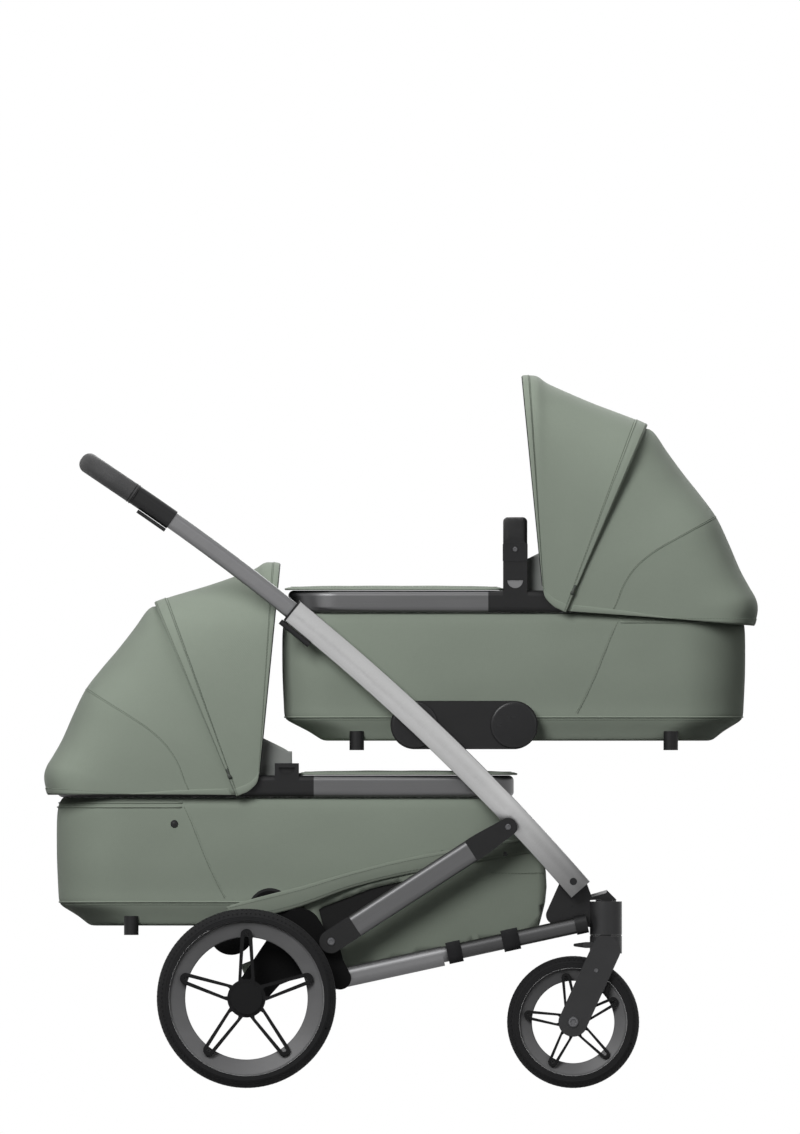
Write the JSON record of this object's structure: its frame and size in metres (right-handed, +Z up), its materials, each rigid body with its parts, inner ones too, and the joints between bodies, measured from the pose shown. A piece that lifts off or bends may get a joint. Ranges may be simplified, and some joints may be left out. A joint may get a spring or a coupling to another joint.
{
  "type": "twin pram",
  "caption": "Twin pram: two hooded carrycots, one above and ahead of the other, on a folding wheeled chassis with a telescoping bowed handle, swivelling front wheels and a basket.",
  "frame": {"origin": "on the floor, under the middle of the pram's bounding box", "axes": "+X forwards (the way the pram is pushed), +Y to the pram's left, +Z up"},
  "size_m": [1.178, 0.61, 1.175],
  "materials": {
    "tyre": "matte foam-filled rubber",
    "wheel_grey": "satin grey moulded ring",
    "wheel_black": "satin black moulding",
    "silver_tube": "satin silver anodised",
    "slide_tube": "satin silver anodised, drawn finish",
    "grip_leather": "black leatherette with a stitched seam",
    "basket_cloth": "woven grey-green cloth",
    "green_cloth": "woven melange grey-green cloth",
    "mattress_cloth": "pale cotton",
    "dark_steel": "black powder coat",
    "button_grey": "grey moulded plastic",
    "bow_plastic": "black flat bow",
    "black_plastic": "satin black moulding"
  },
  "bodies": {
    "chassis": {"rear_axle": "dark_steel", "rear_hubs": "black_plastic", "lower_tubes": "silver_tube", "front_brackets": "black_plastic", "front_cross_tube": "dark_steel", "swivel_housings": "black_plastic", "basket": "basket_cloth", "lower_adapters": "black_plastic"},
    "brake": {"brake_pedal": "black_plastic"},
    "wheel_release_left": {"wheel_release_left": "black_plastic"},
    "wheel_release_right": {"wheel_release_right": "black_plastic"},
    "mast": {"masts": "silver_tube", "mast_collars": "black_plastic", "upper_adapters": "black_plastic"},
    "fold_slider_left": {"fold_slider_left": "black_plastic"},
    "fold_slider_right": {"fold_slider_right": "black_plastic"},
    "handle": {"slide_tubes": "slide_tube", "handle_grip": "grip_leather", "handle_collars": "black_plastic"},
    "handle_trigger_left": {"handle_trigger_left": "black_plastic"},
    "handle_trigger_right": {"handle_trigger_right": "black_plastic"},
    "strut": {"strut_tubes": "silver_tube", "strut_ends": "black_plastic"},
    "rear_wheel_left": {"rear_tyre_left": "tyre", "rear_rim_left": "wheel_grey", "rear_spider_left": "wheel_black"},
    "front_wheel_left": {"front_tyre_left": "tyre", "front_rim_left": "wheel_grey", "front_spider_left": "wheel_black"},
    "fork_left": {"fork_left": "black_plastic"},
    "swivel_lock_left": {"swivel_lock_left": "black_plastic"},
    "rear_wheel_right": {"rear_tyre_right": "tyre", "rear_rim_right": "wheel_grey", "rear_spider_right": "wheel_black"},
    "front_wheel_right": {"front_tyre_right": "tyre", "front_rim_right": "wheel_grey", "front_spider_right": "wheel_black"},
    "fork_right": {"fork_right": "black_plastic"},
    "swivel_lock_right": {"swivel_lock_right": "black_plastic"},
    "upper_cot": {"upper_tub": "green_cloth", "upper_rim": "silver_tube", "upper_head_frame": "black_plastic", "upper_mounts": "black_plastic", "upper_mattress": "mattress_cloth", "upper_apron": "green_cloth", "upper_hood_rear": "green_cloth"},
    "upper_hood": {"upper_hood_front": "green_cloth", "upper_hood_bow": "bow_plastic"},
    "lower_cot": {"lower_tub": "green_cloth", "lower_rim": "silver_tube", "lower_head_frame": "black_plastic", "lower_mounts": "black_plastic", "lower_mattress": "mattress_cloth", "lower_apron": "green_cloth", "lower_hood_rear": "green_cloth"},
    "lower_hood": {"lower_hood_front": "green_cloth", "lower_hood_bow": "bow_plastic"},
    "carry_bar": {"carry_bar": "grip_leather"},
    "bar_button_left": {"bar_button_left": "button_grey"},
    "bar_button_right": {"bar_button_right": "button_grey"}
  },
  "joints": [
    {"name": "chassis_fold", "type": "hinge", "parent": "chassis", "child": "mast", "pos_m": [0.2844, 0, 0.3408], "axis": [0, -1, 0], "range_deg": [0, 42]},
    {"name": "strut_fold", "type": "hinge", "parent": "chassis", "child": "strut", "pos_m": [-0.1155, 0, 0.2417], "axis": [0, 1, 0], "range_deg": [0, 16]},
    {"name": "upper_cot_lift", "type": "slide", "parent": "chassis", "child": "upper_cot", "axis": [0, 0, 1], "range_m": [0, 0.53]},
    {"name": "lower_cot_lift", "type": "slide", "parent": "chassis", "child": "lower_cot", "axis": [0, 0, 1], "range_m": [0, 0.53]},
    {"name": "handle_slide", "type": "hinge", "parent": "mast", "child": "handle", "pos_m": [-2.54769, 0, -2.13851], "axis": [0, 1, 0], "range_deg": [0, 2.28]},
    {"name": "rear_wheel_left_spin", "type": "hinge", "parent": "chassis", "child": "rear_wheel_left", "pos_m": [-0.255, 0.284, 0.148], "axis": [0, 1, 0], "continuous": true},
    {"name": "front_swivel_left", "type": "hinge", "parent": "chassis", "child": "fork_left", "pos_m": [0.338, 0.205, 0.253], "axis": [0, 0, 1], "continuous": true},
    {"name": "front_wheel_left_spin", "type": "hinge", "parent": "fork_left", "child": "front_wheel_left", "pos_m": [0.284, 0.205, 0.109], "axis": [0, 1, 0], "continuous": true},
    {"name": "swivel_lock_left_lift", "type": "hinge", "parent": "fork_left", "child": "swivel_lock_left", "pos_m": [0.305, 0.205, 0.236], "axis": [0, 1, 0], "range_deg": [0, 20]},
    {"name": "wheel_release_left_press", "type": "slide", "parent": "chassis", "child": "wheel_release_left", "axis": [0, 0, -1], "range_m": [0, 0.002], "stiffness_N_per_m": 400},
    {"name": "fold_slider_left_pull", "type": "slide", "parent": "mast", "child": "fold_slider_left", "axis": [-0.7728, 0, 0.6346], "range_m": [0, 0.012], "stiffness_N_per_m": 300},
    {"name": "handle_trigger_left_squeeze", "type": "slide", "parent": "handle", "child": "handle_trigger_left", "axis": [-0.8213, 0, 0.5704], "range_m": [0, 0.008], "stiffness_N_per_m": 500},
    {"name": "bar_button_left_press", "type": "slide", "parent": "upper_cot", "child": "bar_button_left", "axis": [0, -1, 0], "range_m": [0, 0.003], "stiffness_N_per_m": 800},
    {"name": "rear_wheel_right_spin", "type": "hinge", "parent": "chassis", "child": "rear_wheel_right", "pos_m": [-0.255, -0.284, 0.148], "axis": [0, 1, 0], "continuous": true},
    {"name": "front_swivel_right", "type": "hinge", "parent": "chassis", "child": "fork_right", "pos_m": [0.338, -0.205, 0.253], "axis": [0, 0, 1], "continuous": true},
    {"name": "front_wheel_right_spin", "type": "hinge", "parent": "fork_right", "child": "front_wheel_right", "pos_m": [0.284, -0.205, 0.109], "axis": [0, 1, 0], "continuous": true},
    {"name": "swivel_lock_right_lift", "type": "hinge", "parent": "fork_right", "child": "swivel_lock_right", "pos_m": [0.305, -0.205, 0.236], "axis": [0, 1, 0], "range_deg": [0, 20]},
    {"name": "wheel_release_right_press", "type": "slide", "parent": "chassis", "child": "wheel_release_right", "axis": [0, 0, -1], "range_m": [0, 0.002], "stiffness_N_per_m": 400},
    {"name": "fold_slider_right_pull", "type": "slide", "parent": "mast", "child": "fold_slider_right", "axis": [-0.7728, 0, 0.6346], "range_m": [0, 0.012], "stiffness_N_per_m": 300},
    {"name": "handle_trigger_right_squeeze", "type": "slide", "parent": "handle", "child": "handle_trigger_right", "axis": [-0.8213, 0, 0.5704], "range_m": [0, 0.008], "stiffness_N_per_m": 500},
    {"name": "bar_button_right_press", "type": "slide", "parent": "upper_cot", "child": "bar_button_right", "axis": [0, 1, 0], "range_m": [0, 0.003], "stiffness_N_per_m": 800},
    {"name": "brake_pedal_press", "type": "hinge", "parent": "chassis", "child": "brake", "pos_m": [-0.255, 0, 0.148], "axis": [0, 1, 0], "range_deg": [0, 20]},
    {"name": "carry_bar_tilt", "type": "hinge", "parent": "upper_cot", "child": "carry_bar", "pos_m": [0.1884, 0, 0.889], "axis": [0, -1, 0], "range_deg": [0, 90]},
    {"name": "upper_hood_fold", "type": "hinge", "parent": "upper_cot", "child": "upper_hood", "pos_m": [0.256, 0, 0.8], "axis": [0, 1, 0], "range_deg": [0, 32]},
    {"name": "lower_hood_fold", "type": "hinge", "parent": "lower_cot", "child": "lower_hood", "pos_m": [-0.256, 0, 0.495], "axis": [0, -1, 0], "range_deg": [0, 32]}
  ],
  "couplings": [
    {"joint": "strut_fold", "follows": "chassis_fold", "ratio": 0.355},
    {"joint": "upper_cot_lift", "follows": "chassis_fold", "m_per_rad": 0.716},
    {"joint": "lower_cot_lift", "follows": "chassis_fold", "m_per_rad": 0.716}
  ]
}
